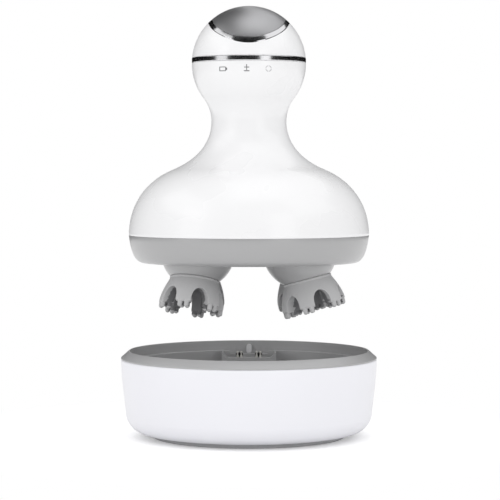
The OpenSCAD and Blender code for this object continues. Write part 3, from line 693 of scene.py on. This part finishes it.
        def section(angle: float) -> Outline:
            edge = self.bezel_reach(angle) - self.button_gap
            radius, roll = self.ball_r + self.button_proud, self.button_roll
            turn = math.degrees(math.acos((edge - roll) / (radius - roll)))
            crown = arc((0.0, 0.0), radius, 90.0, turn, 28)
            middle = (edge - roll, math.sqrt((radius - roll) ** 2 - (edge - roll) ** 2))
            rounding = arc(middle, roll, turn, 0.0, 5)[1:]
            under = arc((0.0, 0.0), radius - self.button_t, turn, 90.0, 16)
            return [*crown, *rounding, (edge, rounding[-1][1] - 0.6), *under]

        return Bench.finish(self.lofted("power_button_cap", section), 50.0)

    def signs(self) -> list[bpy.types.Object]:
        """Printed charge signs on the front of the ball: a cell, plus and minus, and a ring.

        Returns:
            One thin print for each sign.
        """
        height, level = self.sign_h, 0.03
        bars = {
            "sign_plus_minus": (-1.0, [
                (-1.15, 0.5, 1.15, 0.85), (-0.18, -0.6, 0.18, 1.95), (-1.25, -1.15, 1.25, -0.75)]),
            "sign_cell": (-11.5, [
                (-1.75, 0.68, 1.0, 1.02), (-1.75, -1.02, 1.0, -0.68), (-1.75, -1.02, -1.41, 1.02),
                (0.9, -0.8, 1.35, 0.8), (1.3, -0.45, 1.75, 0.45)]),
        }
        pieces = []
        for name, (x, parts) in bars.items():
            marks = [self.print_bar(x + a, height + b, x + c, height + d, level + 0.004 * i)
                     for i, (a, b, c, d) in enumerate(parts)]
            pieces.append(self.joined(name, marks))
        marks = [self.print_arc(8.8, height + 0.1, 1.22, 45.0 + 90.0 * i, level) for i in range(4)]
        pieces.append(self.joined("sign_ring", marks))
        return pieces

    @staticmethod
    def joined(name: str, marks: list[bpy.types.Object]) -> bpy.types.Object:
        """Join printed marks into one sign.

        Args:
            name: the sign's name.
            marks: the marks it is made of.

        Returns:
            The sign.
        """
        Bench.clear()
        for mark in marks:
            mark.select_set(True)
        bpy.context.view_layer.objects.active = marks[0]
        bpy.ops.object.join()
        marks[0].name = name
        return Bench.finish(marks[0])

    def printed(self, x: float, height: float, level: float) -> Vector:
        """Point on the front of the ball.

        Args:
            x: distance to the right of the middle.
            height: height above the underside.
            level: how far proud of the ball.

        Returns:
            The point, in millimetres.
        """
        radius = self.ball_r + level
        depth = math.sqrt(radius**2 - x**2 - (height - self.ball_h) ** 2)
        return Vector((x, -depth, height + self.hang))

    def print_arc(self, x: float, height: float, radius: float, middle: float,
                  level: float) -> bpy.types.Object:
        """Print one arc round a place on the ball.

        Args:
            x: distance of the arc's centre to the right of the middle.
            height: height of the centre above the underside.
            radius: radius of the arc.
            middle: direction of its middle, in degrees.
            level: how far proud of the ball.

        Returns:
            The print.
        """
        stroke, sweep = 0.3, 74.0

        def form(u: float, v: float) -> Vector:
            reach = radius + stroke * (v - 0.5)
            turn = math.radians(middle + sweep * (u - 0.5))
            return self.printed(x + reach * math.cos(turn), height + reach * math.sin(turn), level)

        return Bench.wrapped("arc", 12, 2, form)

    def print_bar(self, left: float, low: float, right: float, high: float, level: float) -> bpy.types.Object:
        """Print one bar that follows the ball.

        Args:
            left: its left edge, to the right of the middle.
            low: its lower edge, above the underside.
            right: its right edge.
            high: its upper edge.
            level: how far proud of the ball.

        Returns:
            The print.
        """
        return Bench.wrapped("bar", 6, 4, lambda u, v: self.printed(
            left + (right - left) * u, low + (high - low) * v, level))

    def build(self, nodes: dict[str, bpy.types.Object]) -> None:
        """Make and dress every piece of the body.

        Args:
            nodes: the frame's nodes by name; not used.
        """
        made = {
            "upper_housing": (self.upper_housing(), Finishes.BODY, "body_white"),
            "trim_ring": (self.trim_ring(), Finishes.PLATE, "bright_chrome"),
            "top_cover": (self.top_cover(), Finishes.BODY, "body_white"),
            "button_bezel": (self.button_bezel(), Finishes.PLATE, "bright_chrome"),
            "power_button": (self.power_button(), Finishes.SILVER, "button_silver"),
        }
        for node, (piece, finish, slot) in made.items():
            finish.value.onto(piece)
            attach(piece, "button" if node == "power_button" else "massager")
            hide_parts(node)
            LOG.info("made %s, %d faces", piece.name, len(piece.data.polygons))
        for piece in self.signs():
            (Finishes.PALE_INK if "ring" in piece.name else Finishes.INK).value.onto(piece)
            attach(piece, "massager")
            LOG.info("printed %s", piece.name)


@dataclass
class Claws:
    """The four silicone claws, rounded all over as they leave the mould, with painted shade inside.

    Sizes are in millimetres. A claw's radius is middle_r at its middle and grows by flare for
    each millimetre down its axis. The silicone is skin thick, and faces deeper than that get a
    darker grey as painted shade between shade_from and shade_to, measured down from the middle.
    centre is how far the heads' axes lie from the middle of the massager, and tilt is how far a claw leans,
    in degrees.
    """

    voxel: float = 0.17
    tilt: float = 15.0
    centre: tuple[float, float] = (23.0, 18.5)
    middle_r: float = 12.8
    flare: float = 0.277
    skin: float = 2.2
    shade_from: float = -6.0
    shade_to: float = 6.2

    def claw(self, node: bpy.types.Object, head: str) -> bpy.types.Object:
        """Melt the hard edges of one claw into rounded ones.

        Args:
            node: the claw's frame node.
            head: which head it is.

        Returns:
            The rounded claw.
        """
        piece = Bench.copied(f"claw_{head}_rounded", node)
        Bench.apply(piece, "REMESH", mode="VOXEL", voxel_size=self.voxel * MM, use_smooth_shade=True)
        Bench.apply(piece, "SMOOTH", factor=0.5, iterations=5)
        Bench.apply(piece, "DECIMATE", ratio=0.3)
        Bench.take(piece)
        bpy.ops.object.shade_smooth()
        return piece

    def paint_cavity_shade(self, piece: bpy.types.Object, head: str) -> None:
        """Paint shade on the faces that lie deeper than the silicone skin, in a darker grey.

        Args:
            piece: the rounded claw.
            head: which head it is.
        """
        low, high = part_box(f"claw_{head}")
        middle = (low + high) / 2.0
        side, end = 1 if "right" in head else -1, 1 if "back" in head else -1
        place = Vector((self.centre[0] * side, self.centre[1] * end)) * MM
        lean = (middle.to_2d() - place).normalized() * math.sin(math.radians(self.tilt))
        axis = Vector((lean.x, lean.y, -math.cos(math.radians(self.tilt))))
        # Painted shade: this darker grey stands for the shade inside the arches
        piece.data.materials.append(Finishes.CORE.value.material())
        for face in piece.data.polygons:
            reach = face.center - middle
            along = reach.dot(axis) / MM
            across = (reach - along * MM * axis).length / MM
            deep = across < self.middle_r + self.flare * along - self.skin
            face.material_index = 1 if deep and self.shade_from < along < self.shade_to else 0

    def build(self, nodes: dict[str, bpy.types.Object]) -> None:
        """Make and dress the claws.

        Args:
            nodes: the frame's nodes by name.
        """
        for head in HEADS:
            piece = self.claw(nodes[f"claw_{head}"], head)
            Finishes.SILICONE.value.onto(piece)
            self.paint_cavity_shade(piece, head)
            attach(piece, f"head_{head}")
            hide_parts(f"claw_{head}")
            LOG.info("made %s, %d faces", piece.name, len(piece.data.polygons))


# --- Base ----------------------------------------------------------------------


@dataclass
class Base:
    """The charging base: its white shell, key and contact pins.

    Sizes are in millimetres and heights are above the table.
    """

    radius: float = 58.9
    taper: float = 2.1
    foot_h: float = 2.1
    foot_r: float = 44.5
    foot_w: float = 4.5
    groove: float = 0.6
    edge_r: float = 9.5
    wall: float = 2.2
    shell_top: float = 36.1
    lip: float = 0.5
    screw_at: float = 34.0
    recess_r: float = 2.7
    recess_h: float = 1.4
    socket_w: float = 8.9
    socket_h: float = 3.2
    socket_z: float = 15.1
    socket_gap: float = 0.35
    key_w: float = 2.6
    key_h: float = 4.4
    key_at: tuple[float, float, float] = (0.0, 53.8, 35.9)
    pin_y: float = 44.0
    pin_x: tuple[float, ...] = (-5.5, -3.7, 3.7, 5.5)
    pin_low: float = 31.2
    pin_top: float = 35.55
    pin_r: float = 0.55
    screen_at: tuple[float, float, float] = (4.6, 45.3, 33.5)
    screen_size: tuple[float, float, float] = (3.4, 0.8, 2.6)

    def skin(self, inset: float, steps: int) -> Outline:
        """The shell's side, from its flat bottom up to its top edge.

        Args:
            inset: how far inside the surface.
            steps: stretches in each bend.

        Returns:
            Radius and height of each point.
        """
        low, wide = self.radius - self.taper, self.radius - inset
        centre = (low - self.edge_r, self.foot_h + self.edge_r)
        rise = centre[1]
        pulls = [(low + 0.2 - inset, rise + 2.0), (low + 1.0 - inset, rise + 10.0), (wide, rise + 16.0),
                 (wide, self.shell_top)]
        side = curve([Vector(pull) for pull in pulls], steps)
        return [*arc(centre, self.edge_r - inset, -90.0, -10.0, steps), *[(p.x, p.y) for p in side]]

    def shell(self) -> bpy.types.Object:
        """White bowl with its top edge broken, the foot's groove, screw recesses and the socket's window.

        Returns:
            The shell.
        """
        outer, inner = self.skin(0.0, 20), self.skin(self.wall, 12)
        top, low, roof = self.shell_top, self.foot_h, self.foot_h + self.groove
        near, far = self.foot_r - self.foot_w - 0.1, self.foot_r + 0.1
        outline = [(0.0, low), (near, low), (near, roof), (far, roof), (far, low), *outer[:-1],
                   *arc((self.radius - self.lip, top - self.lip), self.lip, 0.0, 90.0, 6),
                   (self.radius - self.wall, top), *reversed(inner[:-1]), (0.0, low + self.wall)]
        piece = Bench.spun("base_shell_bowl", outline, 240)
        wide, high = self.socket_w + 2.0 * self.socket_gap, self.socket_h + 2.0 * self.socket_gap
        window = Bench.bar("window", (0.0, self.radius, self.socket_z), (wide, 20.0, high), high / 2.0 - 0.01)
        Bench.cut(piece, window, *self.recesses())
        return Bench.finish(piece, 28.0)

    def recesses(self) -> list[bpy.types.Object]:
        """One plug for each screw recess in the bottom."""
        plugs = []
        for i in range(4):
            turn = math.radians(45.0 + 90.0 * i)
            level = self.foot_h + self.recess_h / 2.0 - 0.5
            place = Vector((self.screw_at * math.cos(turn), self.screw_at * math.sin(turn), level))
            Bench.clear()
            bpy.ops.mesh.primitive_cylinder_add(vertices=40, radius=self.recess_r * MM,
                                                depth=(self.recess_h + 1.0) * MM, location=place * MM)
            bpy.ops.object.transform_apply(location=True, rotation=True, scale=True)
            plugs.append(bpy.context.object)
        return plugs

    def key(self) -> bpy.types.Object:
        """Round-ended key on the back wall.

        Returns:
            The key.
        """
        piece = Bench.bar("base_key", self.key_at, (self.key_w, 2.0, self.key_h), self.key_w / 2.0 - 0.01)
        Bench.soften(piece, 0.2, 60.0)
        return Bench.finish(piece, 35.0)

    def pin(self, number: int, x: float) -> bpy.types.Object:
        """Turned contact pin: a domed head, a neck and a stem.

        Args:
            number: which pin it is, from 1.
            x: its distance to the right of the middle.

        Returns:
            The pin.
        """
        top, r, thin = self.pin_top, self.pin_r, self.pin_r - 0.2
        dome = arc((0.0, top - r), r, 90.0, 0.0, 8)
        stem = [(r, top - 0.95), (thin, top - 1.05), (thin, top - 1.95), (r, top - 2.05), (r, self.pin_low)]
        piece = Bench.spun(f"contact_pin_{number}", [*dome, *stem, (0.0, self.pin_low)], 32)
        piece.location = Vector((x, self.pin_y, 0.0)) * MM
        return Bench.finish(piece, 35.0)

    def screen(self, side: str) -> bpy.types.Object:
        """Dark plate behind a pair of pins.

        Args:
            side: which pair it stands behind, left or right.

        Returns:
            The plate.
        """
        x, y, z = self.screen_at
        piece = Bench.bar(f"pin_screen_{side}", (-x if side == "left" else x, y, z), self.screen_size, 0.5)
        return Bench.finish(piece, 35.0)

    def build(self) -> None:
        """Make and dress the shell, the key, the pins and the plates behind them."""
        shell = self.shell()
        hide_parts("base_shell")
        made = [(shell, Finishes.SHELL, "base", "shell_white")]
        # The key's paler grey is painted light
        made.append((self.key(), Finishes.KEY, "base", "liner_grey"))
        made += [(self.screen(side), Finishes.NYLON, "base", "inner_plastic") for side in ("left", "right")]
        for number, x in enumerate(self.pin_x, 1):
            pin = self.pin(number, x)
            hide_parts(f"pin_{number}")
            made.append((pin, Finishes.CONTACT, f"contact_{number}", "gold_contact"))
        for piece, finish, body, slot in made:
            finish.value.onto(piece)
            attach(piece, body)
            LOG.info("made %s, %d faces", piece.name, len(piece.data.polygons))


# --- Mouldings whose edges are broken --------------------------------------------


@dataclass(frozen=True)
class Alcove:
    """The space above the contact shelf, where the liner's ledge steps down. Sizes are in millimetres."""

    radius: float = 54.4
    half_width: float = 12.3
    front: float = 50.2
    low: float = 33.7
    high: float = 35.6

    def space(self) -> bpy.types.Object:
        """Make the space as a solid, round at the back.

        Returns:
            The solid.
        """
        middle, height = (self.low + self.high) / 2.0, self.high - self.low
        Bench.clear()
        bpy.ops.mesh.primitive_cylinder_add(vertices=256, radius=self.radius * MM, depth=height * MM,
                                            location=(0.0, 0.0, middle * MM))
        piece = bpy.context.object
        bpy.ops.object.transform_apply(location=True, rotation=True, scale=True)
        depth = self.radius - self.front + 1.0
        place, size = (0.0, self.front + depth / 2.0, middle), (2.0 * self.half_width, depth, 4.0)
        block = Bench.bar("block", place, size)
        Bench.apply(piece, "BOOLEAN", object=block, operation="INTERSECT", solver="EXACT")
        bpy.data.objects.remove(block, do_unlink=True)
        return piece


@dataclass(frozen=True)
class Moulding:
    """A frame node that is copied with its edges rounded: width in millimetres, angle in degrees."""

    node: str
    body: str
    slot: str
    finish: Finishes
    width: float = 0.3
    angle: float = 35.0
    alcove: Alcove | None = None

    def build(self, nodes: dict[str, bpy.types.Object]) -> None:
        """Make and dress the moulding.

        Args:
            nodes: the frame's nodes by name.
        """
        piece = Bench.copied(f"{self.node}_broken_edges", nodes[self.node])
        if self.alcove:
            Bench.cut(piece, self.alcove.space())
        Bench.soften(piece, self.width, self.angle, 2)
        Bench.finish(piece, 30.0)
        self.finish.value.onto(piece)
        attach(piece, self.body)
        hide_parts(self.node)
        LOG.info("softened %s, %d faces", piece.name, len(piece.data.polygons))


MOULDINGS = (
    Moulding("base_liner", "base", "liner_grey", Finishes.LINER, 0.35, alcove=Alcove()),
    Moulding("base_foot", "base", "foot_rubber", Finishes.RUBBER, 0.3),
    Moulding("lower_housing", "massager", "housing_grey", Finishes.HOUSING, 0.3),
    *[Moulding(f"turret_{head}", f"head_{head}", "housing_grey", Finishes.HOUSING, 0.25) for head in HEADS],
)


# --- Frame nodes that stay ------------------------------------------------------


def each(kind: str) -> list[str]:
    """Names of one kind of node, one for each head."""
    return [f"{kind}_{head}" for head in HEADS]


KEPT = {
    Finishes.SHELL: ["base_shell"],
    Finishes.LINER: ["base_liner"],
    Finishes.RUBBER: ["base_foot"],
    Finishes.HOUSING: ["lower_housing", *each("turret")],
    Finishes.SILICONE: each("claw"),
    Finishes.STEEL: ["base_screws", "usb_socket", "case_screws", "plate_screws", "cover_screws",
                     "board_screws", "gearhead", "motor", "motor_shaft", *each("shaft")],
    Finishes.BRONZE: ["lower_bushes", "upper_bushes", "drive_bush"],
    Finishes.CONTACT: ["contact_pads", "pin_barrels", "pin_1", "pin_2", "pin_3", "pin_4"],
    Finishes.BOARD: ["usb_board", "charge_board", "control_board", "indicator_board"],
    Finishes.NYLON: ["pin_carrier", "bearing_plate", "gear_cover", "cell_holder", "button_switch",
                     "switch_plunger"],
    Finishes.DARK_RUBBER: ["housing_seal", "shaft_seals", "motor_sleeve"],
    Finishes.ACETAL: ["drive_gear", *each("gear")],
    Finishes.WRAP: ["battery_cell"],
    Finishes.ACRYLIC: ["light_guides"],
    Finishes.BODY: ["upper_housing", "top_cover"],
    Finishes.PLATE: ["trim_ring", "button_bezel"],
    Finishes.SILVER: ["power_button"],
}


# --- Studio --------------------------------------------------------------------


@dataclass(frozen=True)
class Lamp:
    """A soft box: where it hangs, what it is aimed at, its size and its power."""

    name: str
    place: tuple[float, float, float]
    aim: tuple[float, float, float]
    size: tuple[float, float]
    watts: float

    def hang(self) -> None:
        """Add the lamp to the scene."""
        data = bpy.data.lights.new(self.name, "AREA")
        data.shape = "RECTANGLE"
        data.size, data.size_y = self.size
        data.energy = self.watts
        lamp = bpy.data.objects.new(self.name, data)
        lamp.location = self.place
        lamp.rotation_euler = (Vector(self.aim) - Vector(self.place)).to_track_quat("-Z", "Y").to_euler()
        bpy.context.scene.collection.objects.link(lamp)


@dataclass(frozen=True)
class Flag:
    """A black velvet screen that only reflections see, bent round the object.

    start and end are directions in degrees, 0 behind the camera and 90 to its right.
    reach is the distance from the object, and low and high are heights, all in metres.
    """

    name: str
    start: float
    end: float
    low: float
    high: float
    reach: float = 1.3

    def stand(self) -> None:
        """Add the screen to the scene."""

        def form(u: float, v: float) -> Vector:
            turn = math.radians(self.start + (self.end - self.start) * u)
            height = self.low + (self.high - self.low) * v
            return Vector((self.reach * math.sin(turn), -self.reach * math.cos(turn), height)) / MM

        screen = Bench.wrapped(self.name, 24, 1, form)
        velvet = bpy.data.materials.get("black_velvet") or bpy.data.materials.new("black_velvet")
        velvet.use_nodes = True
        velvet.node_tree.nodes.clear()
        cloth = add_node(velvet.node_tree, "ShaderNodeBsdfDiffuse", {"Color": (0.01, 0.01, 0.01, 1.0)})
        add_node(velvet.node_tree, "ShaderNodeOutputMaterial", links={"Surface": cloth.outputs[0]})
        screen.data.materials.append(velvet)
        screen.visible_camera = False
        screen.visible_diffuse = False
        screen.visible_transmission = False
        screen.visible_shadow = False
        screen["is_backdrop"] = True


@dataclass
class Studio:
    """White surroundings, soft boxes, black screens, a pale floor and the photograph's camera.

    eye and aim are in metres, and the lens is in millimetres on a 36 mm sensor. paper is how
    pale the floor is and paper_glow what the camera sees on top of it. Between the two ends of
    shadow_reach, in metres from the middle, the floor runs out into white.
    """

    eye: tuple[float, float, float] = (0.0005, -0.959, 0.1233)
    aim: tuple[float, float, float] = (0.0005, 0.0, 0.0860)
    lens: float = 150.0
    surround: float = 0.93
    lamps: tuple[Lamp, ...] = (
        Lamp("overhead_box", (0.0, -0.1, 0.9), (0.0, 0.0, 0.1), (0.7, 0.7), 0.5),
        Lamp("right_box", (0.52, -0.8, 0.3), (0.0, 0.0, 0.15), (0.36, 0.8), 1.05),
        Lamp("left_box", (-0.8, -0.54, 0.3), (0.0, 0.0, 0.15), (0.44, 0.8), 1.05),
    )
    flags: tuple[Flag, ...] = (
        Flag("low_front_flag", -100.0, 100.0, -0.2, 0.75),
        Flag("high_front_flag", -46.0, 46.0, 0.75, 2.2),
        Flag("back_left_flag", -176.0, -100.0, -0.2, 0.9),
        Flag("high_left_flag", -176.0, -118.0, 0.9, 2.6),
        Flag("top_left_flag", -176.0, -40.0, 1.25, 3.6, 0.9),
        Flag("back_right_flag", 100.0, 178.0, 0.05, 1.15),
    )
    paper: float = 0.92
    paper_glow: float = 0.25
    shadow_reach: tuple[float, float] = (0.075, 0.16)

    def camera(self) -> None:
        """Stand the camera where the photograph was taken from."""
        data = bpy.data.cameras.new("camera")
        data.lens = self.lens
        data.sensor_width = 36.0
        data.clip_start = 0.01
        camera = bpy.data.objects.new("camera", data)
        camera.location = self.eye
        camera.rotation_euler = (Vector(self.aim) - Vector(self.eye)).to_track_quat("-Z", "Y").to_euler()
        bpy.context.scene.collection.objects.link(camera)
        bpy.context.scene.camera = camera

    def surroundings(self) -> None:
        """White to the eye and in reflections, and a soft even light on everything else."""
        world = bpy.data.worlds.new("studio")
        bpy.context.scene.world = world
        world.use_nodes = True
        tree = world.node_tree
        tree.nodes.clear()
        ray = add_node(tree, "ShaderNodeLightPath")
        eye = add_node(tree, "ShaderNodeMath", operation="MAXIMUM",
                       links={0: ray.outputs["Is Camera Ray"], 1: ray.outputs["Is Transmission Ray"]})
        seen = add_node(tree, "ShaderNodeMath", operation="MAXIMUM",
                        links={0: eye.outputs[0], 1: ray.outputs["Is Glossy Ray"]})
        strength = add_node(tree, "ShaderNodeMapRange", {"To Min": self.surround, "To Max": 1.0},
                            {"Value": seen.outputs[0]})
        light = add_node(tree, "ShaderNodeBackground", {"Color": WHITE}, {"Strength": strength.outputs[0]})
        add_node(tree, "ShaderNodeOutputWorld", links={"Surface": light.outputs[0]})

    def floor(self) -> None:
        """Pale floor that keeps the shadow under the base and runs out into white."""
        Bench.clear()
        bpy.ops.mesh.primitive_plane_add(size=6.0)
        plane = bpy.context.object
        plane.name = "floor"
        material = bpy.data.materials.new("white_paper")
        material.use_nodes = True
        tree = material.node_tree
        tree.nodes.clear()
        ray = add_node(tree, "ShaderNodeLightPath")
        paper = add_node(tree, "ShaderNodeBsdfDiffuse", {"Color": (*[self.paper] * 3, 1.0)})
        lift = add_node(tree, "ShaderNodeMath", {1: self.paper_glow}, {0: ray.outputs["Is Camera Ray"]},
                        operation="MULTIPLY")
        glow = add_node(tree, "ShaderNodeEmission", {"Color": WHITE}, {"Strength": lift.outputs[0]})
        both = add_node(tree, "ShaderNodeAddShader", links={0: paper.outputs[0], 1: glow.outputs[0]})
        place = add_node(tree, "ShaderNodeTexCoord").outputs["Object"]
        reach = add_node(tree, "ShaderNodeVectorMath", links={0: place}, operation="LENGTH")
        near, end = self.shadow_reach
        far = add_node(tree, "ShaderNodeMapRange", {"From Min": near, "From Max": end},
                       {"Value": reach.outputs["Value"]}, interpolation_type="SMOOTHSTEP")
        share = add_node(tree, "ShaderNodeMath", links={0: far.outputs[0], 1: ray.outputs["Is Camera Ray"]},
                         operation="MULTIPLY")
        white = add_node(tree, "ShaderNodeEmission", {"Color": WHITE, "Strength": 1.0})
        sheet = add_node(tree, "ShaderNodeMixShader",
                         links={0: share.outputs[0], 1: both.outputs[0], 2: white.outputs[0]})
        add_node(tree, "ShaderNodeOutputMaterial", links={"Surface": sheet.outputs[0]})
        plane.data.materials.append(material)
        plane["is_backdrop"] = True

    def build(self) -> None:
        """Set up camera, light and floor."""
        self.camera()
        self.surroundings()
        for lamp in self.lamps:
            lamp.hang()
        for flag in self.flags:
            flag.stand()
        self.floor()
        bpy.context.scene.view_settings.view_transform = "Standard"


def corners(box: tuple[Vector, Vector]) -> list[list[float]]:
    """Turn a box's two corners into plain lists."""
    return [list(map(float, corner)) for corner in box]


def main() -> None:
    """Load the frame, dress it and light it."""
    logging.basicConfig(level=logging.INFO, format="%(message)s")
    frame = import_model()
    cad_box = corners(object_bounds())
    nodes = frame["nodes"]
    Studio().build()
    for finish, names in KEPT.items():
        finish.value.onto(*[nodes[name] for name in names])
    Massager(hang=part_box("lower_housing")[0].z / MM).build(nodes)
    Claws().build(nodes)
    Base().build()
    for moulding in MOULDINGS:
        moulding.build(nodes)
    {"cad": cad_box, "visual": corners(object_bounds())}
    LOG.info("dressed %d frame nodes", len(nodes))


if __name__ == "__main__":
    main()
